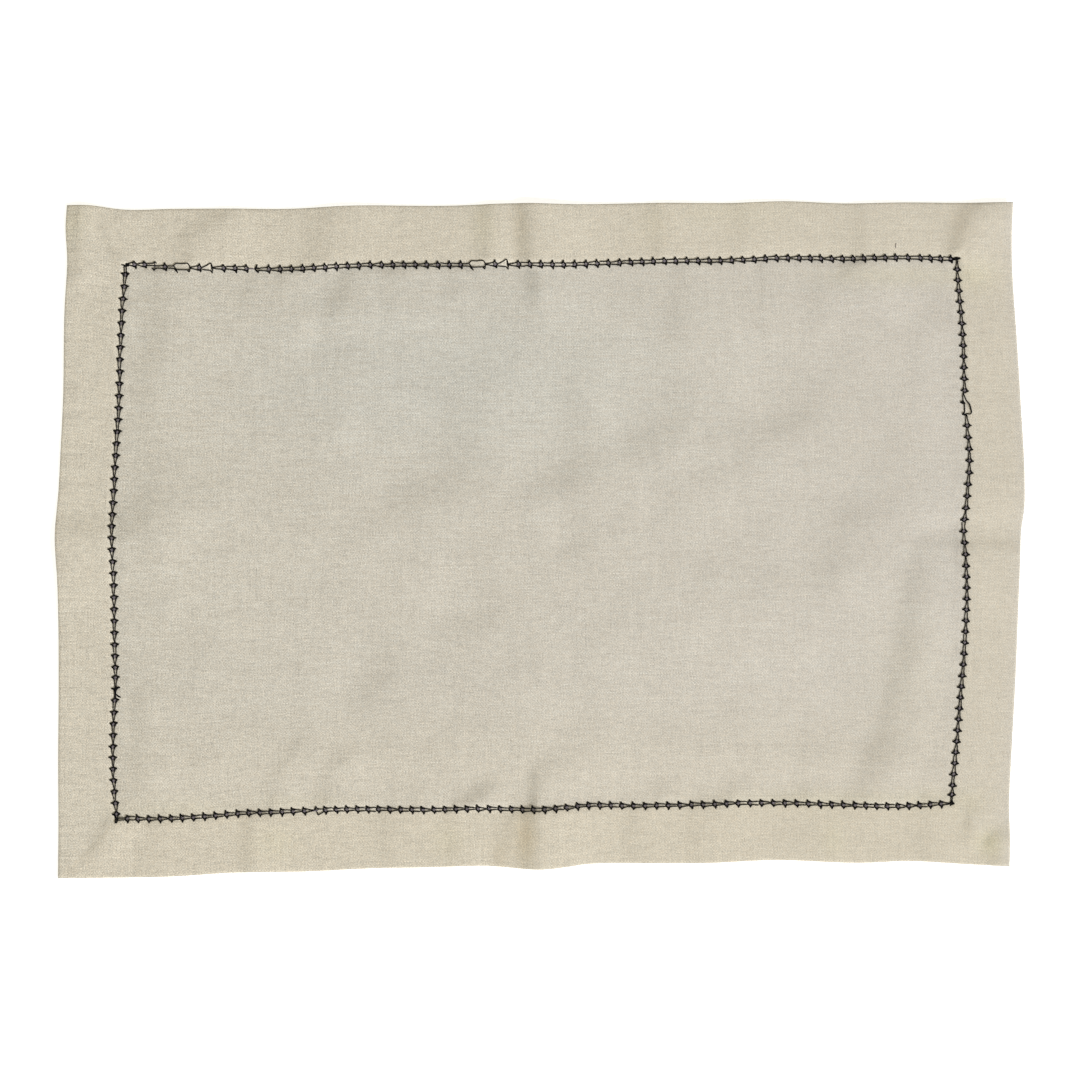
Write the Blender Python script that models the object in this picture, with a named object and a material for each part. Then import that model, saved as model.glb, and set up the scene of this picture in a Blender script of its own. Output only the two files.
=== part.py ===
"""A hemmed fabric placemat, lying flat: one panel of linen-type cloth whose four edges are
turned to the back and mitred at the corners.

Metres, +Z up. The origin is the middle of the mat's box, on the surface that it lies on.
+X runs along its length and +Y towards its back edge. Tables are in millimetres.
"""

import bpy
import numpy as np

MM = 0.001

# Driving dimensions
LENGTH = 508 * MM
WIDTH = 353 * MM
CLOTH_THICKNESS = 1.0 * MM
HEM_THICKNESS = 1.8 * MM
SEAM_THICKNESS = 1.3 * MM  # where the sewing draws the hem down
EDGE_THICKNESS = 1.0 * MM  # at the rounded fold of the outer edge
MITRE_DEPTH = 0.45 * MM
MIDDLE_RISE = 0.8 * MM  # how far the loose middle stands off the surface
MIDDLE_SLOPE = 28 * MM  # how far inside the seam it reaches that rise
RISE_TAKEN_UP = 0.9 * MM  # a rise up to this is on the face alone, and the underside stays flat
CELL = 8.5 * MM  # the widest spacing of the mesh

# The linen's colour, linear
LINEN_COLOUR = (0.60, 0.56, 0.46, 1.0)
LINEN_ROUGHNESS = 0.9

# How far each corner lies from that of a true rectangle: right, back
CORNER_SHIFTS = {
    "front_left": (-2.4, -3.5),
    "front_right": (-4.3, 2.9),
    "back_left": (2.4, 1.7),
    "back_right": (-2.5, 3.3),
}

# How far each edge bows out from the straight line between its corners. Front and back
# run from left to right, left and right from front to back.
# along, outwards
EDGE_BOWS = {
    "front": [
        (0.00, 0.0), (0.05, 0.0), (0.11, -0.1), (0.19, -1.9), (0.26, -2.0),
        (0.33, -3.2), (0.39, -3.4), (0.45, -3.8), (0.51, -1.6), (0.56, -4.2),
        (0.62, -4.1), (0.68, -3.8),
        (0.75, -4.9), (0.85, -2.9), (0.89, -3.5), (0.96, -1.3), (1.00, 0.0),
    ],
    "back": [
        (0.00, 0.0), (0.02, 0.0), (0.06, -2.5), (0.11, -2.2), (0.17, -2.1),
        (0.23, -2.4), (0.30, -0.8), (0.40, -1.0), (0.485, 0.2), (0.53, -0.4),
        (0.63, 0.2), (0.70, 0.0), (0.76, 0.8), (0.82, -0.4), (0.885, 0.0),
        (0.95, -0.3), (1.00, 0.0),
    ],
    "left": [
        (0.00, 0.0), (0.08, 0.1), (0.17, 0.7), (0.29, 1.0), (0.38, 1.6),
        (0.44, 2.4), (0.51, 4.0), (0.58, 2.4), (0.64, 1.6), (0.70, 0.8),
        (0.85, 0.5), (0.92, -0.5), (0.97, 0.6), (1.00, 0.0),
    ],
    "right": [
        (0.00, 0.0), (0.03, 0.3), (0.10, -0.2), (0.16, 0.7), (0.27, 2.6),
        (0.45, 4.8), (0.51, 5.6), (0.54, 7.0), (0.58, 7.1), (0.70, 4.8),
        (0.82, 1.9), (0.88, 0.3), (0.94, -0.4), (1.00, 0.0),
    ],
}

# How wide the turned hem is along each edge
# along, width
HEM_WIDTHS = {
    "front": [
        (0.06, 31.3), (0.15, 30.8), (0.21, 31.8), (0.28, 32.4), (0.36, 31.2),
        (0.46, 30.8), (0.51, 31.9), (0.60, 30.8), (0.70, 31.5), (0.76, 30.7),
        (0.84, 30.9), (0.89, 29.6), (0.94, 32.2),
    ],
    "back": [
        (0.06, 30.0), (0.09, 30.4), (0.15, 31.5), (0.28, 32.2), (0.37, 31.5),
        (0.49, 32.5), (0.62, 31.3), (0.75, 30.5), (0.87, 29.5), (0.94, 30.2),
    ],
    "left": [
        (0.09, 31.3), (0.14, 29.7), (0.21, 29.2), (0.29, 30.2), (0.36, 29.7),
        (0.50, 30.0), (0.58, 29.0), (0.65, 29.4), (0.78, 30.1), (0.91, 31.6),
    ],
    "right": [
        (0.09, 31.1), (0.18, 29.7), (0.27, 28.6), (0.35, 27.6), (0.41, 27.6),
        (0.47, 29.0), (0.52, 30.7), (0.55, 30.5), (0.60, 29.1), (0.66, 29.2),
        (0.72, 29.5), (0.80, 28.8), (0.91, 29.8),
    ],
}

# Ridges of the cloth as it lies. Each falls away steeply on the left of its line and
# gently on the right, as seen along it, and fades past its ends.
# from_x, from_y, to_x, to_y, height, steep_reach, gentle_reach
RIDGES = [
    (-8, 112, -9, 190, 1.4, 8, 15),  # pressed crease across the back hem
    (-9, -190, -7, -118, 1.8, 9, 17),  # pressed crease across the front hem
    (-270, 9, -208, 9, 1.5, 8, 17),  # pressed crease across the left hem
    (-208, 9, -165, 34, 1.2, 10, 18),  # where that crease bends away in the middle
    (180, 33, 270, 33, 1.4, 20, 16),  # behind the pressed valley of the right hem
    (185, -9, 270, -9, 0.8, 8, 20),  # in front of that valley
    (-60, -123, -1, -80, 1.1, 22, 48),  # long slanting ridge of the front right quarter
    (-1, -80, 80, -32, 1.4, 22, 55),
    (80, -32, 142, -17, 1.4, 20, 50),
    (142, -17, 196, -5, 1.2, 14, 45),
    (176, -136, 200, -54, 1.2, 9, 15),  # ridge beside the right seam
    (200, -54, 208, -17, 1.1, 9, 15),
    (-207, 70, -196, 138, 0.8, 8, 13),  # drags that hang from the back seam
    (-103, 112, -101, 142, 1.1, 8, 12),
    (-102, 60, -100, 96, 0.7, 8, 12),
    (-34, 64, -23, 97, 0.7, 8, 12),
    (77, 100, 77, 142, 0.7, 8, 13),
    (184, 52, 184, 97, 0.6, 9, 13),
    (-106, -138, -98, -112, 0.9, 8, 13),  # puffs behind the front seam
    (-45, -140, -20, -128, 1.0, 8, 14),
]

# Puckers across the hems, where the sewing has drawn them in: from_x and from_y at the
# seam, to_x and to_y past the outer edge
# from_x, from_y, to_x, to_y, height, steep_reach, gentle_reach
HEM_PUCKERS = [
    (-187, 146, -172, 184, 0.7, 8, 12),
    (-117, 148, -115, 184, 0.7, 8, 13),
    (-28, 148, -27, 186, 0.5, 7, 9),
    (64, 150, 65, 186, 0.5, 7, 12),
    (109, 150, 109, 186, 0.5, 7, 12),
    (177, 152, 177, 186, 0.4, 7, 12),
    (-205, -186, -205, -148, 0.5, 9, 13),
    (-153, -184, -152, -145, 0.7, 8, 13),
    (-77, -180, -77, -144, 0.5, 7, 11),
    (-46, -180, -46, -144, 0.4, 7, 10),
    (51, -178, 51, -142, 0.5, 7, 12),
    (84, -178, 84, -142, 0.5, 7, 12),
    (142, -178, 142, -142, 0.4, 7, 10),
    (209, -178, 209, -142, 0.4, 8, 12),
]

# Soft hollows of the middle: x, y, reach, depth
HOLLOWS = [
    (-73, 36, 19, 0.8),
    (3, 41, 18, 0.8),
    (57, 65, 15, 0.8),
    (121, 68, 18, 0.8),
    (165, 16, 24, 0.8),
    (-27, 17, 13, 0.5),
    (93, 41, 13, 0.5),
]

# Mesh lines across a hem, as shares of its width from the outer edge. The first cell is
# the rounded fold and the last the drawn-in strip beside the sewing.
HEM_LINES = (0.0, 0.05, 0.35, 0.65, 0.94, 1.0)
SEAM_STRIP = 3 * MM  # from the seam to the first mesh line inside it


def smooth_curve(rows, at):
    """The second column of a table, read smoothly at places along its first."""
    x, y = np.array(rows, float).T
    slopes = np.gradient(y, x)
    low = np.clip(np.searchsorted(x, at, side="right") - 1, 0, len(x) - 2)
    high = low + 1
    span = x[high] - x[low]
    t = np.clip((at - x[low]) / span, 0, 1)
    start = y[low] * (1 + 2 * t) * (1 - t) ** 2
    end = y[high] * t**2 * (3 - 2 * t)
    bend = span * t * (1 - t) * (slopes[low] * (1 - t) - slopes[high] * t)
    return start + end + bend


def corner(name):
    """One corner of the cloth, as x and y."""
    end, side = name.split("_")
    x = LENGTH / 2 if side == "right" else -LENGTH / 2
    y = WIDTH / 2 if end == "back" else -WIDTH / 2
    return np.array((x, y)) + np.array(CORNER_SHIFTS[name]) * MM


def edge(name, start, end, outwards, along):
    """Points of one edge, between two corners and bowed out by its table."""
    along = along[..., None]
    straight = corner(start) * (1 - along) + corner(end) * along
    bow = smooth_curve(EDGE_BOWS[name], along) * MM
    return straight + bow * np.array(outwards)


def spread_between_edges(u, v):
    """Places in the cloth: u runs from its left edge to its right, v from front to back."""
    front = edge("front", "front_left", "front_right", (0, -1), u)
    back = edge("back", "back_left", "back_right", (0, 1), u)
    left = edge("left", "front_left", "back_left", (-1, 0), v)
    right = edge("right", "front_right", "back_right", (1, 0), v)
    u = u[..., None]
    v = v[..., None]
    corners_front = (1 - u) * corner("front_left") + u * corner("front_right")
    corners_back = (1 - u) * corner("back_left") + u * corner("back_right")
    corners = (1 - v) * corners_front + v * corners_back
    return (1 - v) * front + v * back + (1 - u) * left + u * right - corners


def mesh_lines(size, hem):
    """Rows of (first hem, middle, last hem): how much of each lies before a mesh line."""
    middle = size - 2 * hem
    cells = round((middle - 2 * SEAM_STRIP) / CELL)
    inner = np.linspace(SEAM_STRIP / middle, 1 - SEAM_STRIP / middle, cells + 1)
    first = [(share, 0, 0) for share in HEM_LINES]
    across = [(1, share, 0) for share in inner]
    last = [(1, 1, 1 - share) for share in reversed(HEM_LINES)]
    return np.array(first + across + last, float)


def place_lines(lines, first_hem, last_hem, size):
    """The lines' places, from 0 to 1, between two edges with hems of these widths."""
    first = first_hem * MM / size
    last = last_hem * MM / size
    return lines[..., 0] * first + lines[..., 1] * (1 - first - last) + lines[..., 2] * last


def lay_out(lines_x, lines_y):
    """x and y of every crossing of the mesh lines, with the hems' true widths."""
    u = np.broadcast_to(lines_x[:, None, 1], (len(lines_x), len(lines_y)))
    v = np.broadcast_to(lines_y[None, :, 1], u.shape)
    for _ in range(3):  # each hem's width is read at the place that the other one gives
        new_u = place_lines(
            lines_x[:, None], smooth_curve(HEM_WIDTHS["left"], v),
            smooth_curve(HEM_WIDTHS["right"], v), LENGTH,
        )
        v = place_lines(
            lines_y[None, :], smooth_curve(HEM_WIDTHS["front"], u),
            smooth_curve(HEM_WIDTHS["back"], u), WIDTH,
        )
        u = new_u
    return spread_between_edges(u, v)


def ridge_height(x, y, row):
    """How high one ridge stands at x and y."""
    from_x, from_y, to_x, to_y, height, steep, gentle = np.array(row, float) * MM
    length = np.hypot(to_x - from_x, to_y - from_y)
    along_x = (to_x - from_x) / length
    along_y = (to_y - from_y) / length
    along = (x - from_x) * along_x + (y - from_y) * along_y
    to_left = (y - from_y) * along_x - (x - from_x) * along_y
    past_ends = np.maximum(0, np.maximum(-along, along - length))
    reach = np.where(to_left > 0, steep, gentle)
    return height * np.exp(-((to_left / reach) ** 2) - (past_ends / steep) ** 2)


def rise(x, y, looseness):
    """How far the cloth lies above where it would lie flat. Ridges that meet run into
    each other, instead of adding up. Looseness is 0 at the seam and 1 in the middle."""
    merge = 3
    rows = RIDGES + HEM_PUCKERS
    ridges = sum(ridge_height(x, y, row) ** merge for row in rows) ** (1 / merge)
    hollows = sum(
        depth * MM * np.exp(-((x - at_x * MM) ** 2 + (y - at_y * MM) ** 2) / (reach * MM) ** 2)
        for at_x, at_y, reach, depth in HOLLOWS
    )
    return np.maximum(0, ridges + looseness * (MIDDLE_RISE - hollows))


def heights(places, lines_x, lines_y):
    """z of the face and of the underside at each crossing of the mesh lines."""
    x = places[..., 0]
    y = places[..., 1]
    from_edge_x = (lines_x[:, 0] - lines_x[:, 2])[:, None]
    from_edge_y = (lines_y[:, 0] - lines_y[:, 2])[None, :]
    share_x = lines_x[:, 1][:, None]
    share_y = lines_y[:, 1][None, :]
    from_seam_x = np.minimum(share_x, 1 - share_x) * LENGTH
    from_seam_y = np.minimum(share_y, 1 - share_y) * WIDTH
    from_seam = np.minimum(from_seam_x, from_seam_y)
    from_edge = np.where(from_seam > 0, 2, np.minimum(from_edge_x, from_edge_y))
    thickness = np.interp(
        from_edge,
        [HEM_LINES[0], HEM_LINES[1], HEM_LINES[4], HEM_LINES[5], 2],
        [EDGE_THICKNESS, HEM_THICKNESS, HEM_THICKNESS, SEAM_THICKNESS, CLOTH_THICKNESS],
    )
    on_mitre = np.isclose(from_edge_x, from_edge_y) & (from_edge > 0) & (from_edge < 1)
    climb = np.minimum(1, from_seam / MIDDLE_SLOPE)
    raised = rise(x, y, climb**2 * (3 - 2 * climb))
    underside = np.maximum(0, raised - RISE_TAKEN_UP)
    return thickness + raised - MITRE_DEPTH * on_mitre, underside


def cloth_faces(columns, rows):
    """Triangles of the face, the underside and the rim between them. Cells are split
    towards the corners, so that the mitres run along the mesh."""

    def number(i, j, layer):
        return (i * rows + j) * 2 + layer

    faces = []
    for i in range(columns - 1):
        for j in range(rows - 1):
            ring = [(i, j), (i + 1, j), (i + 1, j + 1), (i, j + 1)]
            if (i < columns // 2) != (j < rows // 2):
                ring = ring[1:] + ring[:1]
            a, b, c, d = ring
            for layer, triangles in ((0, ((a, c, b), (a, d, c))), (1, ((a, b, c), (a, c, d)))):
                faces += [[number(*point, layer) for point in three] for three in triangles]
    front = [(i, 0) for i in range(columns)]
    right = [(columns - 1, j) for j in range(1, rows)]
    back = [(i, rows - 1) for i in range(columns - 2, -1, -1)]
    left = [(0, j) for j in range(rows - 2, 0, -1)]
    rim = front + right + back + left
    for here, there in zip(rim, rim[1:] + rim[:1]):
        faces.append([number(*here, 0), number(*there, 0), number(*there, 1)])
        faces.append([number(*here, 0), number(*there, 1), number(*here, 1)])
    return faces


def make_placemat_cloth():
    lines_x = mesh_lines(LENGTH, HEM_WIDTHS["left"][0][1] * MM)
    lines_y = mesh_lines(WIDTH, HEM_WIDTHS["front"][0][1] * MM)
    places = lay_out(lines_x, lines_y)
    face, underside = heights(places, lines_x, lines_y)
    box_middle = (places.max(axis=(0, 1)) + places.min(axis=(0, 1))) / 2
    flat = places - box_middle
    layers = np.stack([np.dstack([flat, underside]), np.dstack([flat, face])], axis=2)
    mesh = bpy.data.meshes.new("placemat_cloth")
    mesh.from_pydata(layers.reshape(-1, 3).tolist(), [], cloth_faces(*face.shape))
    mesh.shade_smooth()
    mesh.set_sharp_from_angle(angle=np.radians(40))
    cloth = bpy.data.objects.new("placemat_cloth", mesh)
    bpy.context.scene.collection.objects.link(cloth)
    return cloth


def make_linen():
    linen = bpy.data.materials.new("linen")
    linen.use_nodes = True
    shader = linen.node_tree.nodes["Principled BSDF"]
    shader.inputs["Base Color"].default_value = LINEN_COLOUR
    shader.inputs["Roughness"].default_value = LINEN_ROUGHNESS
    shader.inputs["Metallic"].default_value = 0.0
    linen.diffuse_color = LINEN_COLOUR
    return linen


for old in list(bpy.data.objects):
    bpy.data.objects.remove(old)

placemat_cloth = make_placemat_cloth()
placemat_cloth.data.materials.append(make_linen())
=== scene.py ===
"""A hemmed linen placemat with charcoal hemstitching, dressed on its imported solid.

The tables are in millimetres, and the meshes in metres. The cloth is first thought of flat,
as a true rectangle with its front left corner at 0, 0, and then laid out as it really lies.
"""

import bmesh
import bpy
import numpy as np
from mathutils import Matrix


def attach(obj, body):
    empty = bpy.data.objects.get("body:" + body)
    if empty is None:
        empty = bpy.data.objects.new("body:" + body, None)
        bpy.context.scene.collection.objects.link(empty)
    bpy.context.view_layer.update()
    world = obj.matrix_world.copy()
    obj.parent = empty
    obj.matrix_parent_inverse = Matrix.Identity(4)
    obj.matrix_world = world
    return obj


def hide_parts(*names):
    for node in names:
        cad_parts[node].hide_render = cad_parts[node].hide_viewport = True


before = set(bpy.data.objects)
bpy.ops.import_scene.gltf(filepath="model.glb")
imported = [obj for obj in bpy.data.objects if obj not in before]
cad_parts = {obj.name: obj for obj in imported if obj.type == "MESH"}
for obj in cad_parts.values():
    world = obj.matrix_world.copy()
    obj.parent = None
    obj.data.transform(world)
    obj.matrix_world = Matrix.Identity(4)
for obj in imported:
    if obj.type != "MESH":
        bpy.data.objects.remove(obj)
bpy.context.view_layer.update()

# ----------------------------------------------------------------------------------------
# The view. The photograph looks straight down on the mat from far enough away that its
# sides show no perspective, and the table round the mat fills the rest of the square.

MM = 0.001
VIEW_ACROSS = 574.6 * MM  # how much of the table the square picture takes in
VIEW_HEIGHT = 1900 * MM
FILM_WIDTH = 36  # in the camera's own millimetres

view_from_above = bpy.data.cameras.new("view_from_above")
view_from_above.sensor_width = FILM_WIDTH
view_from_above.lens = FILM_WIDTH * VIEW_HEIGHT / VIEW_ACROSS
camera = bpy.data.objects.new("view_from_above", view_from_above)
camera.location = (0, 0, VIEW_HEIGHT)
bpy.context.scene.collection.objects.link(camera)
bpy.context.scene.camera = camera
bpy.context.scene.view_settings.view_transform = "Standard"

# ----------------------------------------------------------------------------------------
# The cloth. One panel of slubby plain-woven linen, whose four edges are turned to the back
# twice, mitred at the corners and held by the hemstitching. The sewing has drawn the hem
# into puckers, and the creases of a quarter fold are still in it.

LENGTH = 508
WIDTH = 353
HEM = 31  # its width in the flat cloth

# How far each corner lies from that of a true rectangle: right, back
CORNER_SHIFTS = {
    "front_left": (-2.4, -3.5),
    "front_right": (-4.3, 2.9),
    "back_left": (2.4, 1.7),
    "back_right": (-2.5, 3.3),
}

# How far each edge bows out from the straight line between its corners. Front and back
# run from left to right, left and right from front to back.
# along, outwards
EDGE_BOWS = {
    "front": [
        (0.00, 0.0), (0.05, 0.0), (0.11, -0.1), (0.19, -1.9), (0.26, -2.0),
        (0.33, -3.2), (0.39, -3.4), (0.45, -3.8), (0.51, -1.6), (0.56, -4.2),
        (0.62, -4.1), (0.68, -3.8), (0.75, -4.9), (0.85, -2.9), (0.89, -3.5),
        (0.96, -1.3), (1.00, 0.0),
    ],
    "back": [
        (0.00, 0.0), (0.02, 0.0), (0.06, -2.5), (0.11, -2.2), (0.17, -2.1),
        (0.23, -2.4), (0.30, -0.8), (0.40, -1.0), (0.485, 0.2), (0.53, -0.4),
        (0.63, 0.2), (0.70, 0.0), (0.76, 0.8), (0.82, -0.4), (0.885, 0.0),
        (0.95, -0.3), (1.00, 0.0),
    ],
    "left": [
        (0.00, 0.0), (0.08, 0.1), (0.17, 0.7), (0.29, 1.0), (0.38, 1.6),
        (0.44, 2.4), (0.51, 4.0), (0.58, 2.4), (0.64, 1.6), (0.70, 0.8),
        (0.85, 0.5), (0.92, -0.5), (0.97, 0.6), (1.00, 0.0),
    ],
    "right": [
        (0.00, 0.0), (0.03, 0.3), (0.10, -0.2), (0.16, 0.7), (0.27, 2.6),
        (0.45, 4.8), (0.51, 5.6), (0.54, 7.0), (0.58, 7.1), (0.70, 4.8),
        (0.82, 1.9), (0.88, 0.3), (0.94, -0.4), (1.00, 0.0),
    ],
}

# How wide the turned hem really is along each edge
# along, width
HEM_WIDTHS = {
    "front": [
        (0.06, 31.3), (0.15, 30.8), (0.21, 31.8), (0.28, 32.4), (0.36, 31.2),
        (0.46, 30.8), (0.51, 31.9), (0.60, 30.8), (0.70, 31.5), (0.76, 30.7),
        (0.84, 30.9), (0.89, 29.6), (0.94, 32.2),
    ],
    "back": [
        (0.06, 30.0), (0.09, 30.4), (0.15, 31.5), (0.28, 32.2), (0.37, 31.5),
        (0.49, 32.5), (0.62, 31.3), (0.75, 30.5), (0.87, 29.5), (0.94, 30.2),
    ],
    "left": [
        (0.09, 31.3), (0.14, 29.7), (0.21, 29.2), (0.29, 30.2), (0.36, 29.7),
        (0.50, 30.0), (0.58, 29.0), (0.65, 29.4), (0.78, 30.1), (0.91, 31.6),
    ],
    "right": [
        (0.09, 31.1), (0.18, 29.7), (0.27, 28.6), (0.35, 27.6), (0.41, 27.6),
        (0.47, 29.0), (0.52, 30.7), (0.55, 30.5), (0.60, 29.1), (0.66, 29.2),
        (0.72, 29.5), (0.80, 28.8), (0.91, 29.8),
    ],
}

# Section of the cloth's face: two layers at the fold of the edge, three where the turned-in
# raw edge lies under the hem, the trough that the sewing pulls, and the loose middle
# past_seam, height
FACE_SECTION = [
    (-31.0, 1.05), (-27.0, 1.15), (-16.0, 1.20), (-5.0, 1.26), (-2.2, 1.24), (-0.8, 1.14),
    (0.0, 1.08), (0.8, 1.12), (3.0, 1.16), (10.0, 1.10), (24.0, 1.08),
]
SINGLE_LAYER = 0.55
FOLD_AT_SEAM = 0.8  # the hem's inner fold ends this far inside the sewing
EDGE_ROUND = 0.55  # radius of the fold at the outer edge
MITRE_GROOVE = (0.9, 0.10, 0.50)  # half width, depth on the face, depth on the back
MITRE_FADES = (4, 6)  # how far from the sewing and from the edge it has its full depth
MIDDLE_SLOPE = 28  # how far inside the seam the middle hangs free
MIDDLE_LIFT = 0.9  # how far it then lies above its section
MIDDLE_SINKS = 0.5  # and how far below its section its hollows can reach
SOFT_STOP = 0.04  # the more, the softer they end there
SWELL = 0.06  # height of the swells in the free middle
KNOT_PIT = (1.3, 0.25)  # reach and depth of the dimple at each knot
SEWING_HOLLOW = (1.6, 0.45)  # reach and height of the hollow under the sewing, on the back
END_FADE = 0.5  # how far a fold fades past its ends, as a share of its gentle reach

# Folds of the middle, each by the line of its crest. It falls away steeply on the left of
# that line and gently on the right, as seen along it, and fades past its ends.
# height, steep_reach, gentle_reach, crest
FOLDS = [
    # The pressed creases of a quarter fold, where they run into the middle
    (1.6, 6, 24, [(1, 134), (0, 150)]),
    (1.8, 5, 24, [(0, -150), (0, -132)]),
    (1.1, 11, 28, [(-240, -1), (-222, -2)]),
    (0.9, 12, 28, [(-222, -2), (-210, 4)]),
    (1.0, 13, 28, [(-210, 5), (-196, 14)]),
    (0.8, 14, 28, [(-196, 14), (-168, 24)]),
    (0.6, 20, 20, [(192, 24), (240, 24)]),
    (0.6, 12, 26, [(206, -8), (240, -8)]),
    # The long slanting fold of the front right quarter
    (0.5, 26, 40, [(-60, -130), (-22, -100), (60, -52), (130, -28)]),
    (1.0, 20, 44, [(164, -24), (188, -10)]),
    # Drags that hang from the back seam
    (1.2, 10, 24, [(-103, 122), (-96, 138)]),
    (0.9, 7, 18, [(-134, 136), (-134, 146)]),
    (1.0, 9, 22, [(-77, 124), (-75, 146)]),
    (0.8, 8, 16, [(-148, 134), (-124, 121)]),
    (0.5, 6, 14, [(-44, 132), (-44, 142)]),
    (0.7, 12, 20, [(-196, 126), (-196, 142)]),
    (0.7, 10, 20, [(-203, 78), (-196, 112)]),
    (0.4, 10, 20, [(-102, 62), (-100, 98)]),
    (0.35, 9, 20, [(-26, 60), (-22, 96)]),
    (0.25, 8, 18, [(24, 2), (22, 74)]),
    (0.6, 7, 14, [(16, 134), (18, 144)]),
    (0.7, 10, 28, [(80, 104), (80, 146)]),
    (0.4, 5, 26, [(121, 112), (121, 146)]),
    (0.6, 10, 20, [(152, 116), (152, 132)]),
    (1.2, 8, 20, [(170, 143), (182, 152)]),
    # Puffs behind the front seam
    (1.1, 8, 20, [(-110, -142), (-110, -127), (-103, -121)]),
    (0.7, 7, 18, [(-139, -146), (-138, -132), (-128, -114)]),
    (0.4, 6, 14, [(-180, -136), (-180, -118)]),
    (1.6, 8, 22, [(-42, -148), (-28, -137)]),
    (0.6, 8, 16, [(-63, -144), (-60, -136)]),
    (0.5, 7, 14, [(-209, -122), (-209, -84)]),
    (0.25, 7, 16, [(-208, -138), (24, -140)]),
    (0.6, 6, 14, [(66, -148), (66, -136)]),
    (0.8, 7, 14, [(106, -148), (106, -134)]),
    (0.7, 7, 14, [(144, -148), (144, -136)]),
    (0.7, 13, 24, [(176, -146), (184, -118)]),
    (0.4, 10, 20, [(150, -120), (150, -106)]),
    (0.5, 6, 12, [(208, -142), (208, -124)]),
]

# Puckers of the hems, where the sewing has gathered them, in the same way
HEM_PUCKERS = [
    (2.6, 8, 26, [(-2, 146), (-5, 190)]),
    (2.6, 10, 26, [(-2, -190), (1, -146)]),
    (1.5, 10, 28, [(-270, 0), (-226, 0)]),
    (0.6, 20, 20, [(220, 24), (270, 24)]),
    (0.8, 12, 26, [(220, -8), (270, -8)]),
    (1.2, 7, 20, [(-184, 150), (-184, 158), (-166, 170)]),
    (1.1, 11, 26, [(-114, 146), (-110, 160), (-106, 186)]),
    (1.3, 7, 14, [(-25, 150), (-25, 180)]),
    (0.8, 6, 24, [(66, 148), (66, 186)]),
    (0.8, 9, 26, [(112, 160), (112, 186)]),
    (0.7, 6, 24, [(174, 148), (174, 186)]),
    (1.6, 7, 16, [(224, 154), (231, 172), (250, 184)]),
    (1.1, 5, 12, [(-244, 142), (-244, 180)]),
    (0.9, 5, 10, [(-222, 148), (-231, 164)]),
    (1.0, 6, 22, [(-152, -184), (-152, -152)]),
    (0.5, 8, 20, [(-76, -180), (-76, -146)]),
    (0.6, 8, 16, [(-43, -180), (-43, -146)]),
    (0.9, 7, 12, [(-18, -180), (-12, -150)]),
    (0.6, 9, 20, [(-204, -180), (-204, -156)]),
    (0.5, 8, 20, [(54, -178), (54, -146)]),
    (0.6, 8, 26, [(86, -176), (86, -146)]),
    (0.4, 12, 26, [(150, -170), (150, -150)]),
    (0.5, 8, 20, [(208, -176), (208, -146)]),
    (1.0, 6, 12, [(-234, -166), (-229, -155), (-220, -148)]),
    (1.5, 8, 12, [(247, -172), (244, -161)]),
    (0.8, 5, 10, [(228, -160), (232, -146)]),
]

# Hollows, each by the line of its deepest part. It rises steeply on the left of that line
# and gently on the right.
# depth, steep_reach, gentle_reach, line
DENTS = [
    (1.4, 15, 38, [(-56, 40), (-78, 32)]),
    (1.4, 15, 38, [(14, 46), (4, 41)]),
    (1.4, 15, 38, [(62, 68), (50, 64)]),
    (1.3, 12, 32, [(133, 72), (123, 69)]),
    (0.8, 12, 30, [(108, 69), (100, 65)]),
    (0.8, 11, 26, [(100, 43), (88, 42)]),
    (1.2, 11, 20, [(17, 2), (13, 1)]),
    (0.4, 8, 14, [(65, 14), (59, 13)]),
    (0.5, 12, 24, [(94, -8), (86, -10)]),
    (1.2, 11, 30, [(-38, -36), (-44, -37)]),
    (0.8, 11, 26, [(-92, -71), (-98, -73)]),
    (1.1, 11, 24, [(216, 132), (206, 128)]),
    (0.7, 5, 8, [(270, 3), (188, 3)]),
    # The rise of the middle to the end of the right crease, and to the right seam
    (1.5, 26, 44, [(150, 16), (143, -10)]),
    (1.7, 13, 44, [(192, -14), (186, -46), (178, -78), (170, -106)]),
]

# The row of stitches on each side, which is sewn clockwise as seen from above. Here
# knots are counted from the corner where the row starts.
# knots_made, place along x or y
STITCH_ROWS = {
    "back": [
        (0, -215.6), (3, -199.3), (4, -186.6), (5, -181.1), (6, -174.5), (7, -168.1),
        (28, -42.2), (29, -29.6), (30, -23.8), (31, -17.3), (58, 143.8), (66, 189.2),
        (68, 202.4), (71, 218.4), (72, 221.6),
    ],
    "right": [
        (0, 143.9), (4, 121.1), (10, 85.8), (13, 67.0), (16, 48.5), (21, 17.1),
        (26, -13.7), (46, -130.3), (47, -135.3), (48, -139.9),
    ],
    "front": [
        (0, 213.1), (8, 167.4), (22, 80.4), (28, 43.4), (50, -85.9), (57, -125.4),
        (72, -213.9), (73, -219.5), (74, -225.4),
    ],
    "left": [
        (0, -145.5), (1, -139.8), (9, -91.7), (10, -85.1), (11, -79.3), (12, -73.0),
        (13, -67.6), (15, -55.6), (24, 1.2), (29, 32.4), (35, 70.2), (46, 141.3),
        (47, 145.8),
    ],
}


def smooth_curve(rows, at):
    """The second column of a table, read smoothly at places along its first."""
    x, y = np.array(rows, float).T
    slopes = np.gradient(y, x)
    low = np.clip(np.searchsorted(x, at, side="right") - 1, 0, len(x) - 2)
    high = low + 1
    span = x[high] - x[low]
    t = np.clip((at - x[low]) / span, 0, 1)
    start = y[low] * (1 + 2 * t) * (1 - t) ** 2
    end = y[high] * t**2 * (3 - 2 * t)
    bend = span * t * (1 - t) * (slopes[low] * (1 - t) - slopes[high] * t)
    return start + end + bend


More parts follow.
